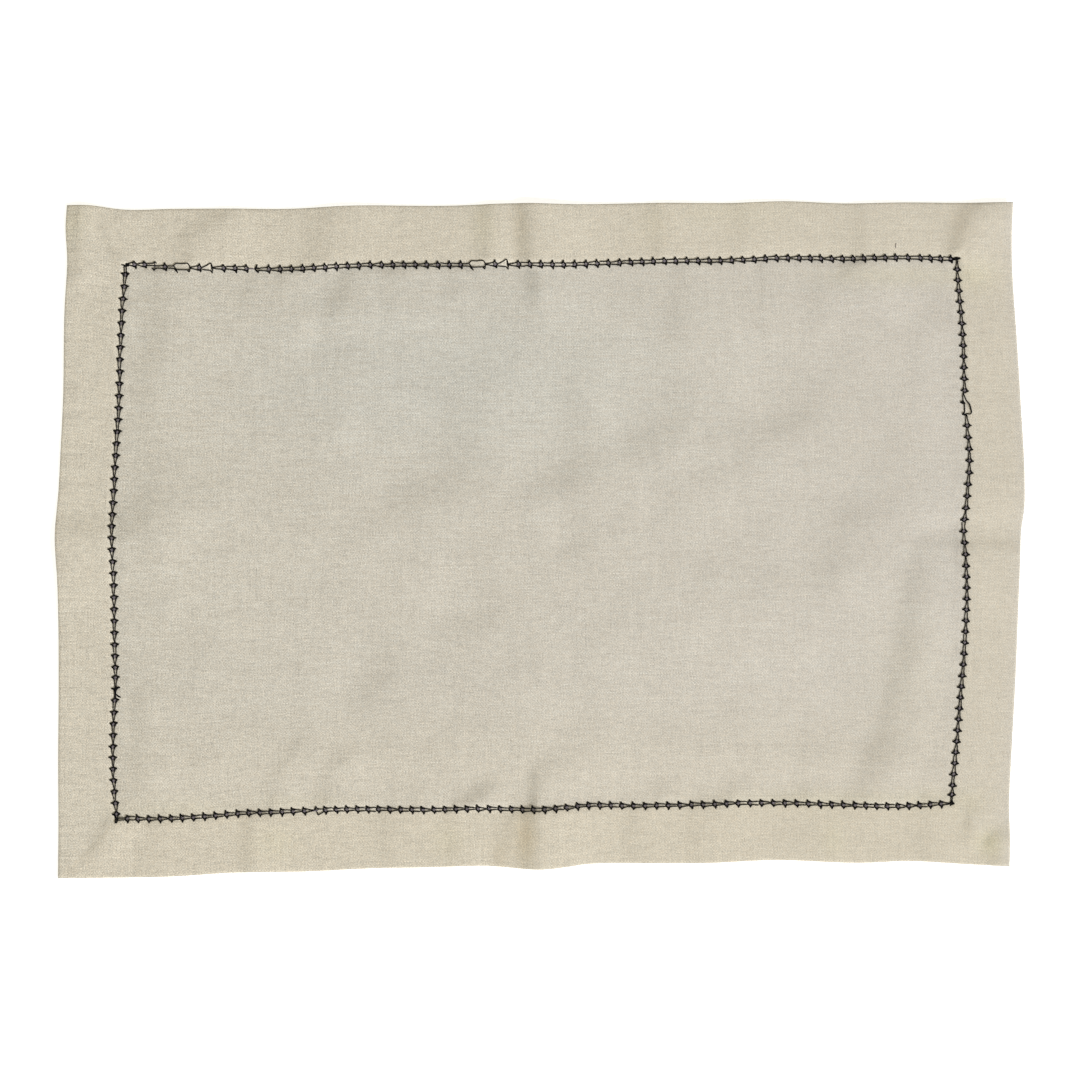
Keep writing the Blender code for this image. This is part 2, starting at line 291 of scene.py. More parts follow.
def soft_step(value, start, end):
    """0 before start, 1 past end, and smooth between them."""
    t = np.clip((value - start) / (end - start), 0, 1)
    return t**2 * (3 - 2 * t)


def corner(name):
    """One corner of the cloth, as x and y."""
    end, side = name.split("_")
    x = LENGTH / 2 if side == "right" else -LENGTH / 2
    y = WIDTH / 2 if end == "back" else -WIDTH / 2
    return np.array((x, y)) + CORNER_SHIFTS[name]


def edge(name, start, end, outwards, along):
    """Points of one edge, between two corners and bowed out by its table."""
    along = along[..., None]
    straight = corner(start) * (1 - along) + corner(end) * along
    return straight + smooth_curve(EDGE_BOWS[name], along) * np.array(outwards)


def spread_between_edges(u, v):
    """Places in the cloth: u runs from its left edge to its right, v from front to back."""
    front = edge("front", "front_left", "front_right", (0, -1), u)
    back = edge("back", "back_left", "back_right", (0, 1), u)
    left = edge("left", "front_left", "back_left", (-1, 0), v)
    right = edge("right", "front_right", "back_right", (1, 0), v)
    u = u[..., None]
    v = v[..., None]
    corners_front = (1 - u) * corner("front_left") + u * corner("front_right")
    corners_back = (1 - u) * corner("back_left") + u * corner("back_right")
    corners = (1 - v) * corners_front + v * corners_back
    return (1 - v) * front + v * back + (1 - u) * left + u * right - corners


def with_true_hems(flat, size, first_hem, last_hem):
    """A place in the flat cloth as a share of its size, once the hems have these widths."""
    first = np.clip(flat / HEM, 0, 1) * first_hem / size
    last = np.clip((flat - size + HEM) / HEM, 0, 1) * last_hem / size
    middle = np.clip((flat - HEM) / (size - 2 * HEM), 0, 1)
    return first + last + middle * (1 - (first_hem + last_hem) / size)


def lay_out(flat_x, flat_y):
    """x and y, as the mat really lies, of places in the flat cloth."""
    u = flat_x / LENGTH
    v = flat_y / WIDTH
    for _ in range(3):  # the width of each hem is read at the place that the others give
        left = smooth_curve(HEM_WIDTHS["left"], v)
        right = smooth_curve(HEM_WIDTHS["right"], v)
        front = smooth_curve(HEM_WIDTHS["front"], u)
        back = smooth_curve(HEM_WIDTHS["back"], u)
        u = with_true_hems(flat_x, LENGTH, left, right)
        v = with_true_hems(flat_y, WIDTH, front, back)
    return spread_between_edges(u, v)


def outline_middle():
    """The middle of the laid-out cloth's box."""
    count = 400  # how many places of each edge are looked at
    along = np.linspace(0, 1, count)
    ends = np.concatenate([np.zeros(count), np.ones(count)])
    both = np.concatenate([along, along])
    outline = np.concatenate([spread_between_edges(both, ends), spread_between_edges(ends, both)])
    return (outline.max(axis=0) + outline.min(axis=0)) / 2


def knots_of(side):
    """Places of a side's knots in the flat cloth, along that side, in sewing order."""
    rows = np.array(STITCH_ROWS[side])
    wanted = np.interp(np.arange(rows[-1, 0] + 1), rows[:, 0], rows[:, 1])
    count = 600  # how many places along the row are laid out, to find the knots between
    if side in ("front", "back"):
        flat = np.linspace(0, LENGTH, count)
        seam = HEM if side == "front" else WIDTH - HEM
        real = lay_out(flat, np.full_like(flat, seam))[:, 0]
    else:
        flat = np.linspace(0, WIDTH, count)
        seam = HEM if side == "left" else LENGTH - HEM
        real = lay_out(np.full_like(flat, seam), flat)[:, 1]
    return np.interp(wanted, real, flat)


KNOTS = {side: knots_of(side) for side in STITCH_ROWS}
MIDDLE_OF_OUTLINE = outline_middle()


def from_nearest_knot(flat_x, flat_y, side):
    """How far places are from the nearest knot of one side."""
    if side in ("front", "back"):
        along = flat_x
        across = flat_y - (HEM if side == "front" else WIDTH - HEM)
    else:
        along = flat_y
        across = flat_x - (HEM if side == "left" else LENGTH - HEM)
    knots = np.sort(KNOTS[side])
    after = np.clip(np.searchsorted(knots, along), 1, len(knots) - 1)
    along_gap = np.minimum(np.abs(along - knots[after - 1]), np.abs(along - knots[after]))
    return np.hypot(along_gap, across)


def fold_shape(x, y, steep, gentle, line):
    """How much of a fold's height the cloth has at x and y, from 0 to 1."""
    share = 0
    for (from_x, from_y), (to_x, to_y) in zip(line, line[1:]):
        length = np.hypot(to_x - from_x, to_y - from_y)
        along_x = (to_x - from_x) / length
        along_y = (to_y - from_y) / length
        along = (x - from_x) * along_x + (y - from_y) * along_y
        to_left = (y - from_y) * along_x - (x - from_x) * along_y
        past_ends = np.maximum(0, np.maximum(-along, along - length))
        reach = np.where(to_left > 0, steep, gentle)
        near = np.exp(-((to_left / reach) ** 2) - (past_ends / (END_FADE * gentle)) ** 2)
        share = np.maximum(share, near)
    return share


def waves(x, y, shortest, longest, count, seed):
    """Gentle swells without a pattern: many small waves that run every way, about 1 high."""
    draw = np.random.default_rng(seed)
    total = 0
    for _ in range(count):
        heading = draw.uniform(0, np.pi)
        wave = 2 * np.pi / draw.uniform(shortest, longest)
        start = draw.uniform(0, 2 * np.pi)
        total = total + np.sin(wave * (x * np.cos(heading) + y * np.sin(heading)) + start)
    return total * np.sqrt(2 / count)


def highest(x, y, table):
    """The folds of one table, merged softly where they meet."""
    merge = 3
    heights = [height * fold_shape(x, y, *shape) for height, *shape in table]
    return sum(height**merge for height in heights) ** (1 / merge)


def rise(x, y, past_seam):
    """How far the creases, puckers and swells lift the cloth at x and y."""
    in_middle = soft_step(past_seam, -3, 4)
    folds = highest(x, y, FOLDS) * in_middle
    puckers = highest(x, y, HEM_PUCKERS) * (1 - in_middle)
    dents = highest(x, y, DENTS)
    looseness = soft_step(past_seam, 0, MIDDLE_SLOPE)
    swells = SWELL * waves(x, y, shortest=25, longest=70, count=14, seed=3)
    lowest = -MIDDLE_SINKS * looseness
    above = folds + puckers - dents + looseness * (MIDDLE_LIFT + swells) - lowest
    return lowest + (above + np.sqrt(above**2 + SOFT_STOP)) / 2


def past_seam_of(flat_x, flat_y):
    """How far inside the line of sewing a place lies, less than 0 in the hem."""
    from_left_or_right = np.minimum(flat_x, LENGTH - flat_x)
    from_front_or_back = np.minimum(flat_y, WIDTH - flat_y)
    return np.minimum(from_left_or_right, from_front_or_back) - HEM


def off_mitre_of(flat_x, flat_y):
    """How far a place lies from the nearest mitre, along one edge."""
    return np.abs(np.minimum(flat_x, LENGTH - flat_x) - np.minimum(flat_y, WIDTH - flat_y))


def face_and_back(flat_x, flat_y):
    """x, y and the two heights of the cloth, its face and its back, at flat places."""
    places = lay_out(flat_x, flat_y) - MIDDLE_OF_OUTLINE
    x, y = places[..., 0], places[..., 1]
    past_seam = past_seam_of(flat_x, flat_y)
    from_edge = past_seam + HEM
    built_up = smooth_curve(FACE_SECTION, past_seam)
    thickness = np.where(past_seam > FOLD_AT_SEAM, SINGLE_LAYER, built_up)
    face = built_up + rise(x, y, past_seam)
    reach, depth = KNOT_PIT
    for side in STITCH_ROWS:
        face = face - depth * np.exp(-((from_nearest_knot(flat_x, flat_y, side) / reach) ** 2))
    half_width, face_groove, back_groove = MITRE_GROOVE
    by_sewing, by_edge = MITRE_FADES
    mitre = np.exp(-((off_mitre_of(flat_x, flat_y) / half_width) ** 2))
    mitre = mitre * soft_step(-past_seam, 0, by_sewing) * soft_step(from_edge, 0, by_edge)
    back = np.maximum(0, face - thickness) + back_groove * mitre
    reach, height = SEWING_HOLLOW
    back = np.maximum(back, height * np.exp(-((past_seam / reach) ** 2)))
    face = face - face_groove * mitre
    inwards = np.clip(from_edge / EDGE_ROUND, 0, 1)
    pinch = (1 - np.sqrt(1 - (1 - inwards) ** 2)) * (face - back) / 2
    return x, y, face - pinch, back + pinch


EDGE_LINES = [0, 0.05, 0.2, 0.55, 1.6]  # the mesh's lines along the fold of the edge
SEAM_BAND = 6  # how far to each side of the sewing its cells are finer
MITRE_BAND = 3  # and how far to each side of a mitre
MITRE_START = 4  # how far from the edge those begin
CELL = 2.6  # width of its cells in the middle


def mesh_lines(size):
    """Lines of the cloth's grid from edge to edge: close at the fold, even elsewhere."""
    hem = np.linspace(EDGE_LINES[-1], HEM - SEAM_BAND, 9)[1:]
    beside_seam = [HEM - SEAM_BAND / 2, HEM, HEM + SEAM_BAND / 2]
    first = np.concatenate([EDGE_LINES, hem, beside_seam])
    start = HEM + SEAM_BAND
    middle = np.linspace(start, size - start, round((size - 2 * start) / CELL) + 1)
    return np.concatenate([first, middle, size - first[::-1]])


def flat_grid():
    """The flat cloth as places, faces and the ring of its edge, with a fine band along
    the seam and each mitre."""
    grid = bmesh.new()
    lines_x = mesh_lines(LENGTH)
    lines_y = mesh_lines(WIDTH)
    points = [[grid.verts.new((x, y, 0)) for y in lines_y] for x in lines_x]
    for low, high in zip(points, points[1:]):
        for j in range(len(lines_y) - 1):
            grid.faces.new((low[j], high[j], high[j + 1], low[j + 1]))
    fine = set()
    for face in grid.faces:
        middle = face.calc_center_median()
        past_seam = past_seam_of(middle.x, middle.y)
        in_hem = MITRE_START - HEM < past_seam < 0
        by_mitre = in_hem and off_mitre_of(middle.x, middle.y) < MITRE_BAND
        if abs(past_seam) < SEAM_BAND or by_mitre:
            fine.update(face.edges)
    bmesh.ops.subdivide_edges(grid, edges=list(fine), cuts=2, use_grid_fill=True)
    grid.verts.index_update()
    places = np.array([vert.co[:2] for vert in grid.verts])
    faces = [[vert.index for vert in face.verts] for face in grid.faces]
    edge_pairs = []
    for side in grid.edges:
        if side.is_boundary:
            loop = side.link_loops[0]
            edge_pairs.append((loop.vert.index, loop.link_loop_next.vert.index))
    grid.free()
    return places, faces, edge_pairs


COOL_CLOUD = (-40, 88, 120, 50)  # x, y, reach_x, reach_y

# Where the linen is painted a little darker, or less than 0 for paler: painted shade and
# painted light by the creases, hollows and seams and across broad parts, and some uneven tone
# x, y, reach_x, reach_y, darker
LIGHT_SHADE_AND_TONE_PATCHES = [
    (*COOL_CLOUD, 0.014),
    (-110, 60, 80, 60, 0.018),
    (120, 118, 60, 22, -0.006),
    (215, 112, 25, 30, 0.012),
    (168, 8, 20, 15, 0.025),
    (85, -52, 95, 44, -0.025),
    (224, -6, 4, 9, 0.050),
    (209, -32, 14, 14, 0.018),
    (-246, 20, 20, 150, -0.019),
    (-246, -110, 20, 80, -0.018),
    (245, -40, 18, 120, -0.012),
    (242, 165, 20, 20, 0.014),
    (-226, -66, 14, 66, 0.015),
    (246, 177, 7, 6, 0.030),
    (20, 171, 11, 9, 0.034),
    (140, 168, 16, 8, -0.014),
    (-180, 161, 10, 8, 0.028),
    (-8, -157, 5, 11, 0.050),
    (207, -137, 15, 6, -0.022),
    (-17, 177, 8, 6, 0.022),
    (192, 139, 14, 6, 0.055),
    (-86, 115, 13, 8, 0.028),
    (129, 40, 18, 9, 0.026),
    (-89, 28, 14, 8, 0.018),
    (4, 13, 12, 8, 0.020),
    (107, 97, 10, 8, 0.018),
    (220, -22, 6, 12, 0.022),
    (-95, -132, 110, 5, 0.022),
    (-92, -131, 9, 6, 0.016),
    (218, 155, 14, 5, -0.038),
    (128, 156, 22, 5, -0.018),
    (65, 140, 9, 12, -0.026),
    (-153, 133, 8, 7, -0.022),
    (-208, 115, 8, 12, -0.018),
    (-207, 50, 8, 14, -0.018),
    (146, 72, 12, 7, -0.018),
    (185, 31, 12, 8, -0.018),
    (155, -21, 22, 6, -0.026),
    (-21, -36, 10, 8, -0.018),
    (6, -90, 40, 14, -0.018),
]

# Where the linen is painted yellower or browner, and how much from 0 to 1. Some of the yellow
# is real yellowing with use, and some of it, with all the brown, is warm painted shade in the
# creases and along the seams
# x, y, reach_x, reach_y, yellow, brown
STAINS_AND_WARM_SHADE = [
    (239, -161, 7, 7, 0.90, 0.00),
    (229, -141, 8, 8, 0.30, 0.00),
    (-8, -158, 5, 12, 0.50, 0.45),
    (-21, -167, 5, 7, 0.10, 0.20),
    (-49, -160, 8, 9, 0.35, 0.00),
    (-141, -161, 12, 9, 0.40, 0.00),
    (-190, -144, 36, 6, 0.28, 0.00),
    (-128, -140, 24, 4, 0.25, 0.00),
    (156, -159, 6, 10, 0.42, 0.00),
    (150, -138, 66, 5, 0.38, 0.00),
    (200, -72, 24, 34, 0.15, 0.00),
    (192, 141, 40, 6, 0.42, 0.00),
    (232, 141, 11, 10, 0.38, 0.00),
    (-249, 169, 8, 12, 0.40, 0.00),
    (-30, 168, 6, 12, 0.38, 0.00),
    (-11, 166, 4, 14, 0.15, 0.12),
    (59, 168, 8, 12, 0.18, 0.04),
    (100, 175, 30, 9, 0.22, 0.00),
    (224, 169, 7, 14, 0.00, 0.12),
    (208, -137, 16, 6, 0.22, 0.00),
]

SHADE_BY_SEAM = 0.045  # painted shade: how much darker the linen is just inside the sewing, where the cloth sinks
HIGHLIGHT_BY_SEAM = 0.03  # painted highlight: how much paler it is just outside the sewing, on the hem's raised edge
HEM_YELLOWNESS = [1.0, 0.8, 0.65, 0.72]  # front, back, left, right
FRONT_YELLOWNESS = 0.42  # along the front of the middle
BACK_STRETCH = 40.0  # the back has its own stretch of the yarn pattern


def patch(x, y, at_x, at_y, reach_x, reach_y):
    """A soft round patch: 1 at its middle, and fading out past its reach."""
    return np.exp(-(((x - at_x) / reach_x) ** 2) - ((y - at_y) / reach_y) ** 2)


def tone_of(x, y, past_seam):
    """How bright the linen is painted: a painted highlight just outside the sewing, painted shade
    just inside it where the cloth sinks, and patches of painted light and shade and uneven
    tone in the middle."""
    patchy = waves(x, y, shortest=7, longest=40, count=16, seed=8)
    uneven = np.clip(0.6 + 0.7 * patchy, 0, 2)
    # A band of painted shade just inside the sewing, and a painted highlight just outside it
    inside = soft_step(past_seam, 0.2, 1.6) * (1 - soft_step(past_seam, 2, 9))
    outside = soft_step(past_seam, -5, -1.5) * (1 - soft_step(past_seam, -1.2, 0))
    tone = 1 - SHADE_BY_SEAM * inside * uneven + HIGHLIGHT_BY_SEAM * outside
    # Patches of painted shade and painted highlight by the creases, and of uneven tone
    for *painted_spot, darker in LIGHT_SHADE_AND_TONE_PATCHES:
        tone = tone - darker * patch(x, y, *painted_spot)
    return tone


def how_yellow(flat_x, flat_y, past_seam):
    """How much of the hem's yellower colour shows: in the hem, most at the front and least
    at the right edge, and faintly along the front of the middle."""
    from_edges = [flat_y, WIDTH - flat_y, flat_x, LENGTH - flat_x]
    of_nearest = np.array(HEM_YELLOWNESS)[np.argmin(from_edges, axis=0)]
    in_hem = (1 - soft_step(past_seam, -1, 1.5)) * of_nearest
    in_hem = in_hem * soft_step(LENGTH - flat_x, -9, 10)
    return np.maximum(in_hem, FRONT_YELLOWNESS * (1 - soft_step(flat_y, 45, 105)))


def make_cloth():
    """The cloth's face, its back and the rim between them, painted with its tone, colour
    and stains, and with painted shade and highlights by the seams and creases."""
    places, faces, edge_pairs = flat_grid()
    count = len(places)
    x, y, face, back = face_and_back(places[:, 0], places[:, 1])
    points = np.concatenate([np.stack([x, y, face], 1), np.stack([x, y, back], 1)])
    undersides = [[index + count for index in reversed(ring)] for ring in faces]
    rim = [(after, before, before + count, after + count) for before, after in edge_pairs]
    mesh = bpy.data.meshes.new("linen_cloth")
    mesh.from_pydata((points * MM).tolist(), [], faces + undersides + rim)
    mesh.shade_smooth()
    flat_place = mesh.attributes.new("flat_place", "FLOAT_VECTOR", "POINT")
    both = np.concatenate([places, places])
    side = np.repeat([0.0, BACK_STRETCH], count)
    flat_place.data.foreach_set("vector", np.column_stack([both, side]).ravel())
    past_seam = past_seam_of(both[:, 0], both[:, 1])
    x, y = np.tile(x, 2), np.tile(y, 2)
    painted = {
        "tone": tone_of(x, y, past_seam),
        "coolness": patch(x, y, *COOL_CLOUD),
        "yellowness": how_yellow(both[:, 0], both[:, 1], past_seam),
        # The yellow is yellowing with use mixed with warm painted shade; the brown is painted
        # shade in the creases
        "yellow_stain_and_shade": sum(yellow_stain_and_shade * patch(x, y, *at) for *at, yellow_stain_and_shade, _ in STAINS_AND_WARM_SHADE),
        "brown_crease_shade": sum(brown_crease_shade * patch(x, y, *at) for *at, _, brown_crease_shade in STAINS_AND_WARM_SHADE),
    }
    for name, values in painted.items():
        mesh.attributes.new(name, "FLOAT", "POINT").data.foreach_set("value", values)
    cloth = bpy.data.objects.new("linen_cloth", mesh)
    bpy.context.scene.collection.objects.link(cloth)
    return cloth


def linear(hex_colour):
    """An sRGB hex colour as linear red, green, blue and alpha."""
    shares = [int(hex_colour[start : start + 2], 16) / 255 for start in (1, 3, 5)]
    bright = [((share + 0.055) / 1.055) ** 2.4 if share > 0.04045 else share / 12.92
              for share in shares]
    return (*bright, 1.0)


def add_node(material, kind, *inputs, **settings):
    """Adds a node with its settings. Its inputs come in the order in which the node shows
    them, each as a value or as a node or one of its outputs to link it to."""
    node = material.node_tree.nodes.new("ShaderNode" + kind)
    for name, value in settings.items():
        setattr(node, name, value)
    for socket, value in zip([shown for shown in node.inputs if shown.enabled], inputs):
        if isinstance(value, bpy.types.Node):
            value = next(output for output in value.outputs if output.enabled)
        if isinstance(value, bpy.types.NodeSocket):
            material.node_tree.links.new(value, socket)
        else:
            socket.default_value = value
    return node


# Flax in its natural stone colour, less yellow towards the right, the cool cloud in it,
# the hem with more layers, the stains, and warm painted shade in the creases and by the seams
LINEN_LEFT = "#c4bfb1"
LINEN_RIGHT = "#c3beb4"
LINEN_COOL = "#c1bfb5"
LINEN_HEM = "#c7c0af"
# The yellowed stains with warm painted shade, and the brown painted shade of the creases
LINEN_YELLOW_STAIN_AND_SHADE = "#c7c1a8"
LINEN_BROWN_CREASE_SHADE = "#c6b498"

YARN = 0.8  # from one yarn to the next, drawn coarser than a likely 0.5 so that it shows
YARN_HEIGHT = 0.12
YARN_BUMP = 0.35  # how strongly its roundness shows
SLUB = 5.0  # length of the thick and thin places along a yarn
SLUB_RELIEF = 0.4  # how far they change its height, as a share
LONG_SLUB = 24.0
TUFT_LENGTH = 0.68  # of the fibres on the yarns, drawn in coarse tufts so that they show
TUFT_WIDTH = 0.4
MOTTLE = 30.0  # width of the faint clouds in the dye
HUE_LENGTH = 1.25  # of the pinker and yellower places along a weft yarn
HUE_STRETCH = 90  # these have a stretch of the noise to themselves
ROW_STEP = 7.3  # how far apart two neighbouring yarns read the noise, so that they differ
ROW_START = 0.4

# How bright each set of yarns is, and how much each pattern changes that
WEFT_TONE = 1.03
WEFT_SLUB_TONE = 0.13
WEFT_LONG_TONE = 0.06
WARP_TONE = 0.97
WARP_SLUB_TONE = 0.08
WARP_LONG_TONE = 0.05
MOTTLE_TONE = 0.02
TUFT_TONE = 0.21
SHOW_THROUGH = 0.03  # of the weft's slubs, which show through the warp as well
COARSE_LEFT = 1.3  # how strongly all of this shows at the left edge, and at the right
COARSE_RIGHT = 0.8

# How much cooler, pinker and yellower one place of a yarn is than the next
COOL_YARNS = 0.35
PINK_YARNS = 0.026
YELLOW_YARNS = -0.030


def make_linen():
    """Plain-woven linen: flax yarns that are thick and thin by turns, each paler or darker
    than the next and coarser on the left, so that the eye sees fine streaks both ways, and
    no shine."""
    linen = bpy.data.materials.new("woven_linen")
    linen.use_nodes = True
    shader = linen.node_tree.nodes["Principled BSDF"]

    def clouds(x, y, z, detail=0):
        """Noise at this place, from about -1 to 1: the node's own is 0.25 to 0.75."""
        place = add_node(linen, "CombineXYZ", x, y, z)
        noise = add_node(linen, "TexNoise", place, 1, detail)
        return add_node(linen, "MapRange", noise, 0.25, 0.75, -1)

    painted = {}
    for name in ("tone", "coolness", "yellowness", "yellow_stain_and_shade", "brown_crease_shade"):
        painted[name] = add_node(linen, "Attribute", attribute_name=name).outputs["Fac"]
    flat_place = add_node(linen, "Attribute", attribute_name="flat_place").outputs["Vector"]
    flat_x, flat_y, side = add_node(linen, "SeparateXYZ", flat_place).outputs

    # Places as counted in each form's length and width, and the yarns that cross here
    lengths = (YARN, SLUB, LONG_SLUB, TUFT_LENGTH, MOTTLE, HUE_LENGTH, LENGTH)
    widths = (YARN, SLUB, LONG_SLUB, TUFT_WIDTH, MOTTLE)
    x_in = {size: add_node(linen, "Math", flat_x, size, operation="DIVIDE") for size in lengths}
    y_in = {size: add_node(linen, "Math", flat_y, size, operation="DIVIDE") for size in widths}
    warp_yarn = add_node(linen, "Math", x_in[YARN], operation="FLOOR")
    weft_yarn = add_node(linen, "Math", y_in[YARN], operation="FLOOR")
    warp_row = add_node(linen, "Math", warp_yarn, ROW_STEP, ROW_START, operation="MULTIPLY_ADD")
    weft_row = add_node(linen, "Math", weft_yarn, ROW_STEP, ROW_START, operation="MULTIPLY_ADD")

    # Each yarn is thick and thin by turns, which makes it paler and darker
    weft_slubs = clouds(x_in[SLUB], weft_row, side, 2)
    weft_long = clouds(x_in[LONG_SLUB], weft_row, side)
    warp_slubs = clouds(warp_row, y_in[SLUB], side, 1)
    warp_long = clouds(warp_row, y_in[LONG_SLUB], side)
    weft_tone = WEFT_TONE
    for pattern, share in ((weft_slubs, WEFT_SLUB_TONE), (weft_long, WEFT_LONG_TONE)):
        weft_tone = add_node(linen, "Math", pattern, share, weft_tone, operation="MULTIPLY_ADD")
    warp_tone = WARP_TONE
    for pattern, share in ((warp_slubs, WARP_SLUB_TONE), (warp_long, WARP_LONG_TONE)):
        warp_tone = add_node(linen, "Math", pattern, share, warp_tone, operation="MULTIPLY_ADD")

    # Plain weave: weft and warp pass over each other by turns. Over both come the clouds in
    # the dye, the tufts of fibre and the slubs that show through.
    crossing = add_node(linen, "Math", warp_yarn, weft_yarn, operation="ADD")
    weft_on_top = add_node(linen, "Math", crossing, 2, operation="MODULO")
    woven = add_node(linen, "Mix", weft_on_top, warp_tone, weft_tone)
    mottles = clouds(x_in[MOTTLE], y_in[MOTTLE], side, 2)
    tufts = clouds(x_in[TUFT_LENGTH], y_in[TUFT_WIDTH], side)
    over_all = ((mottles, MOTTLE_TONE), (tufts, TUFT_TONE), (weft_slubs, SHOW_THROUGH))
    for pattern, share in over_all:
        woven = add_node(linen, "Math", pattern, share, woven, operation="MULTIPLY_ADD")
    to_right = x_in[LENGTH]
    less = COARSE_RIGHT - COARSE_LEFT
    coarse = add_node(linen, "Math", to_right, less, COARSE_LEFT, operation="MULTIPLY_ADD")
    contrast = add_node(linen, "Math", woven, 1, operation="SUBTRACT")
    woven = add_node(linen, "Math", contrast, coarse, 1, operation="MULTIPLY_ADD")
    # Over the weave come the painted shade and highlights by the seams and creases, and the uneven
    # tone
    tone = add_node(linen, "Math", woven, painted["tone"], operation="MULTIPLY")

    # Its colour, from left to right, in the cool cloud, in the hem, and in the stains and the warm
    # painted shade
    cool = painted["coolness"]
    coolness = add_node(linen, "Math", weft_long, COOL_YARNS, cool, operation="MULTIPLY_ADD")
    colour = linear(LINEN_LEFT)
    for share, other in (
        (to_right, LINEN_RIGHT),
        (coolness, LINEN_COOL),
        (painted["yellowness"], LINEN_HEM),
        (painted["yellow_stain_and_shade"], LINEN_YELLOW_STAIN_AND_SHADE),
        (painted["brown_crease_shade"], LINEN_BROWN_CREASE_SHADE),
    ):
        colour = add_node(linen, "Mix", share, colour, linear(other), data_type="RGBA")
    shaded = add_node(linen, "VectorMath", colour, tone, operation="SCALE")
    hue = clouds(x_in[HUE_LENGTH], weft_row, HUE_STRETCH, 1)
    red = add_node(linen, "Math", hue, PINK_YARNS, 1, operation="MULTIPLY_ADD")
    blue = add_node(linen, "Math", hue, YELLOW_YARNS, 1, operation="MULTIPLY_ADD")
    tinge = add_node(linen, "CombineXYZ", red, 1, blue)
    base = add_node(linen, "VectorMath", shaded, tinge, operation="MULTIPLY")

    # Each yarn is round, and stands higher where it is thick
    reliefs = []
    for place, slubs in ((x_in[YARN], warp_slubs), (y_in[YARN], weft_slubs)):
        turn = add_node(linen, "Math", place, np.pi, operation="MULTIPLY")
        swing = add_node(linen, "Math", turn, operation="SINE")
        arch = add_node(linen, "Math", swing, operation="ABSOLUTE")
        reliefs.append(
            add_node(linen, "Math", slubs, SLUB_RELIEF, arch, operation="MULTIPLY_ADD")
        )
    relief = add_node(linen, "Mix", weft_on_top, *reliefs)
    bump = add_node(linen, "Bump", YARN_BUMP, YARN_HEIGHT * MM)
    links = linen.node_tree.links
    links.new(relief.outputs["Result"], bump.inputs["Height"])
    links.new(bump.outputs["Normal"], shader.inputs["Normal"])
    links.new(base.outputs["Vector"], shader.inputs["Base Color"])
    shader.inputs["Roughness"].default_value = 0.92
    shader.inputs["Specular IOR Level"].default_value = 0.25
    shader.inputs["Sheen Weight"].default_value = 0.12
    shader.inputs["Sheen Roughness"].default_value = 0.6
    return linen


linen_cloth = make_cloth()
linen_cloth.data.materials.append(make_linen())
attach(linen_cloth, "root")
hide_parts("placemat_cloth")

# ----------------------------------------------------------------------------------------
# The hemstitching. A machine sews it in charcoal cotton, clockwise and about 31 mm in from
# the edge, through the hem and the cloth. Each stitch is two rails that run forward and a
# knot that throws a barb to each side, and here and there the machine has missed a catch.

THREAD = 0.62  # diameter of the twisted thread
PLIES = 2
PLY_TURN = 1.5  # length in which its plies go once round each other
THREAD_SIDES = 8
THREAD_STEP = 0.35
SUNK_END = 0.28  # how deep a thread's ends go into the needle holes
DIVE = 0.7  # length in which they go down
PLY_ROUNDNESS = 0.12  # how much thinner the thread is where its plies meet
BARB_REACH = 2.4
FIRST_STITCH = 5.0  # length of a row's first stitch, which has no knot behind it
LYING = 0.20  # height of a thread's middle over the cloth
UNDER_CLOTH = 0.19  # and of the reverse side's thread under it

# Where each row's zero lies in the flat cloth, which way it is sewn, and which way is out
SEWN = {
    "back": ((0, WIDTH - HEM), (1, 0), (0, 1)),
    "right": ((LENGTH - HEM, 0), (0, -1), (1, 0)),
    "front": ((0, HEM), (-1, 0), (0, -1)),
    "left": ((HEM, 0), (0, 1), (-1, 0)),
}

# How each row differs: how far ahead the outer and the inner tip lie, how far from the
# middle the rails start, how much that varies and how far they end, and their thickness
# outer_tip, inner_tip, rail_start, rail_start_varies, rail_end, rail
ROW_HABITS = {
    "back": (-0.1, 0.6, 0.75, 0.20, 0.80, 0.62),
    "right": (0.2, 0.2, 0.30, 0.20, 0.70, 0.54),
    "front": (-0.3, 0.4, 0.55, 0.25, 0.78, 0.62),
    "left": (0.2, 0.4, 0.28, 0.12, 0.70, 0.55),
}

# Stitches where the thread missed its catch, as paths from that knot. A path of a thread
# that isn't of the usual thickness, or has a painted grey highlight, gives that too.
# ahead, outwards, and then thickness and painted highlight from 0 to 1
BOX = [
    [(-11.5, 0.6), (-8.3, 0.8), (-7.3, 1.75), (-4.0, 1.85), (-0.3, 1.75), (0.5, 0.4), (0.7, -1.0)],
    [(-11.5, -0.7), (-8.1, -0.9), (-6.2, -1.3), (-3.0, -1.35), (-0.1, -1.3)],
    [(-8.3, 0.8), (-6.9, -1.1), (-5.8, -3.1)],
    [(-8.1, -0.6), (-7.0, -1.9), (-5.9, -2.9)],
    [(0.7, -1.0), (-0.6, -1.3), (0.2, -2.6)],
    [(0.6, 0.3), (0.6, -0.9), (0.3, -2.5)],
]
OPEN_TRIANGLE = [
    [(-5.2, 0.1), (-2.6, 1.3), (-0.4, 2.4), (-0.1, 0.8), (0.1, -0.9)],
    [(-5.2, -0.9), (-2.6, -1.2), (-0.5, -1.3)],
    [(-0.9, -1.3), (-0.3, -1.8), (0.5, -2.8)],
    [(0.7, -0.6), (0.4, -1.6), (0.5, -2.8)],
    [(-0.2, 2.3), (0.3, 0.6), (0.7, -0.6)],
]
